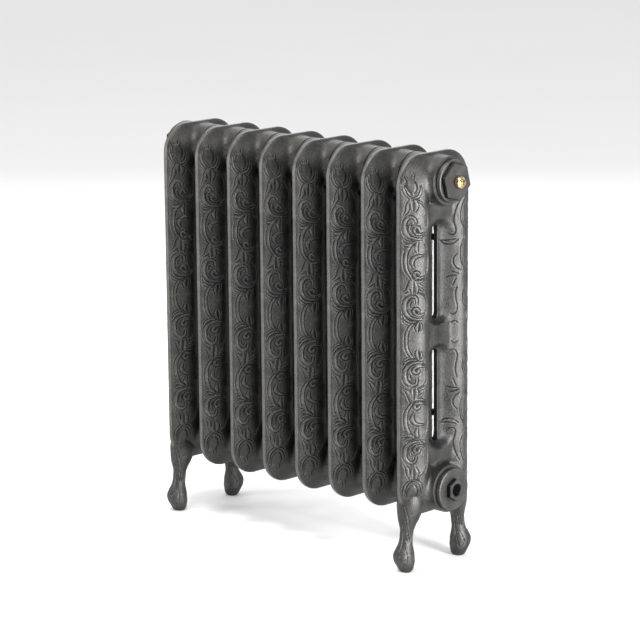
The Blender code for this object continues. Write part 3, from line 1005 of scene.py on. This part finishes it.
def build_air_vent():
    """Brass vent: a round fluted cap with a weep hole, and the square-headed bleed screw."""
    tail = [ring(VENT_TAIL, VENT_AIRWAY), ring(VENT_TAIL, VENT_TAIL_RADIUS - 0.4),
            ring(VENT_TAIL + 0.6, VENT_TAIL_RADIUS), ring(VENT_SEAT, VENT_TAIL_RADIUS)]
    cap = [ring(VENT_SEAT, VENT_RADIUS - 0.5), ring(VENT_SEAT + 0.5, VENT_RADIUS),
           ring(60.6, VENT_RADIUS), fluted(61.6, 9.0, 0.35), fluted(62.6, 7.4, 0.45),
           ring(62.3, 5.9)]
    neck = [ring(62.6, 5.3), ring(VENT_FRONT - 0.8, 5.2), ring(VENT_FRONT, 4.6)]
    bore = [ring(VENT_FRONT, VENT_BORE + 0.4), ring(VENT_FRONT - 0.6, VENT_BORE),
            ring(57.3, VENT_BORE), ring(VENT_SEAT, VENT_AIRWAY)]
    rings = tail + cap + neck + bore
    body = mesh_object("air_vent_detail", *rings_solid(rings, closed=True), brass,
                       FITTING_SHARP_DEG)
    hole_rings = [ring(x, WEEP_HOLE_RADIUS, *WEEP_HOLE, 20) for x in (59.0, 64.0)]
    hole = mesh_object("weep_hole", *rings_solid(hole_rings), brass)
    cut = body.modifiers.new("weep hole", "BOOLEAN")
    cut.operation = "DIFFERENCE"
    cut.solver = "EXACT"
    cut.object = hole
    depsgraph = bpy.context.evaluated_depsgraph_get()
    body.data = bpy.data.meshes.new_from_object(body.evaluated_get(depsgraph))
    body.modifiers.clear()
    bpy.data.objects.remove(hole)
    stem = [ring(SCREW_START, SCREW_RADIUS - 0.5), ring(SCREW_START + 0.5, SCREW_RADIUS),
            ring(63.8, SCREW_RADIUS)]
    square = [polygon(x, flats, 45, 4)
              for x, flats in ((64.2, SCREW_SQUARE - 0.2), (64.6, SCREW_SQUARE),
                               (SCREW_FRONT - 0.5, SCREW_SQUARE),
                               (SCREW_FRONT, SCREW_SQUARE - 0.6))]
    screw = mesh_object("bleed_screw_detail", *rings_solid(stem + square), brass,
                        FITTING_SHARP_DEG)
    for piece, node, body_name in ((body, "air_vent_body", "radiator"),
                                   (screw, "bleed_screw", "bleed_valve")):
        piece.location = section_place(SECTION_COUNT) + Vector((0, 0, UPPER_HUB_Z)) * MM
        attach(piece, body_name)
        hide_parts(node)


build_castings()
build_fitting("vent_plug_upper_right", SECTION_COUNT, UPPER_HUB_Z, PLUG_FLATS, 45, VENT_HOLE)
build_fitting("inlet_bush_lower_right", SECTION_COUNT, LOWER_HUB_Z, BUSH_FLATS, 90, BUSH_BORE)
build_fitting("blank_plug_upper_left", 1, UPPER_HUB_Z, PLUG_FLATS, 30, None)
build_fitting("outlet_bush_lower_left", 1, LOWER_HUB_Z, BUSH_FLATS, 90, BUSH_BORE)
build_gaskets()
build_air_vent()
for node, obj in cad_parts.items():
    if node.startswith("nipple_"):
        obj.data.materials.clear()
        obj.data.materials.append(fitting_iron_painted_shade)


# ================================================================ studio and camera
def area_light(name, place, target, width, height, watts, warmth):
    light = bpy.data.lights.new(name, "AREA")
    light.shape = "RECTANGLE"
    light.size, light.size_y = width, height
    light.energy = watts
    light.color = (1.0, 1.0 - warmth, 1.0 - 2 * warmth)
    obj = bpy.data.objects.new(name, light)
    obj.location = place
    obj.rotation_euler = (Vector(target) - Vector(place)).to_track_quat("-Z", "Y").to_euler()
    bpy.context.collection.objects.link(obj)


def build_studio():
    corners = [(x * FLOOR_REACH, y * FLOOR_REACH, 0) for x, y in ((-1, -1), (1, -1), (1, 1), (-1, 1))]
    floor = mesh_object("floor", corners, [[0, 1, 2, 3]], floor_material())
    for light in LIGHTS:
        area_light(*light)
    world = bpy.data.worlds.new("studio")
    world.use_nodes = True
    background = world.node_tree.nodes["Background"]
    background.inputs["Color"].default_value = (1.0, 1.0, 1.0, 1.0)
    background.inputs["Strength"].default_value = WORLD_STRENGTH
    scene = bpy.context.scene
    scene.world = world
    scene.view_settings.view_transform = "Standard"
    scene.view_settings.exposure = EXPOSURE


def floor_material():
    material, nodes, links, shader = new_material("studio_floor")
    coords = nodes.new("ShaderNodeTexCoord")
    color = ramp(nodes, links, noise(nodes, links, coords, 0.6, 2),
                 ((0.3, grey(0.81)), (0.7, grey(0.83))))
    links.new(color, shader.inputs["Base Color"])
    shader.inputs["Roughness"].default_value = 0.9
    return material


def place_camera():
    """Long lens from the front right, a little above the radiator."""
    yaw, pitch, roll = (math.radians(angle) for angle in CAMERA_TURN)
    forward = Vector((-math.sin(yaw) * math.cos(pitch), math.cos(yaw) * math.cos(pitch),
                      -math.sin(pitch)))
    right = Vector((math.cos(yaw), math.sin(yaw), 0))
    up = right.cross(forward)
    tilted_right = math.cos(roll) * right + math.sin(roll) * up
    tilted_up = math.cos(roll) * up - math.sin(roll) * right
    data = bpy.data.cameras.new("camera")
    data.lens = CAMERA_LENS
    camera = bpy.data.objects.new("camera", data)
    turn = Matrix((tilted_right, tilted_up, -forward)).transposed()
    camera.matrix_world = Matrix.Translation(CAMERA_PLACE) @ turn.to_4x4()
    bpy.context.collection.objects.link(camera)
    bpy.context.scene.camera = camera


build_studio()
place_camera()
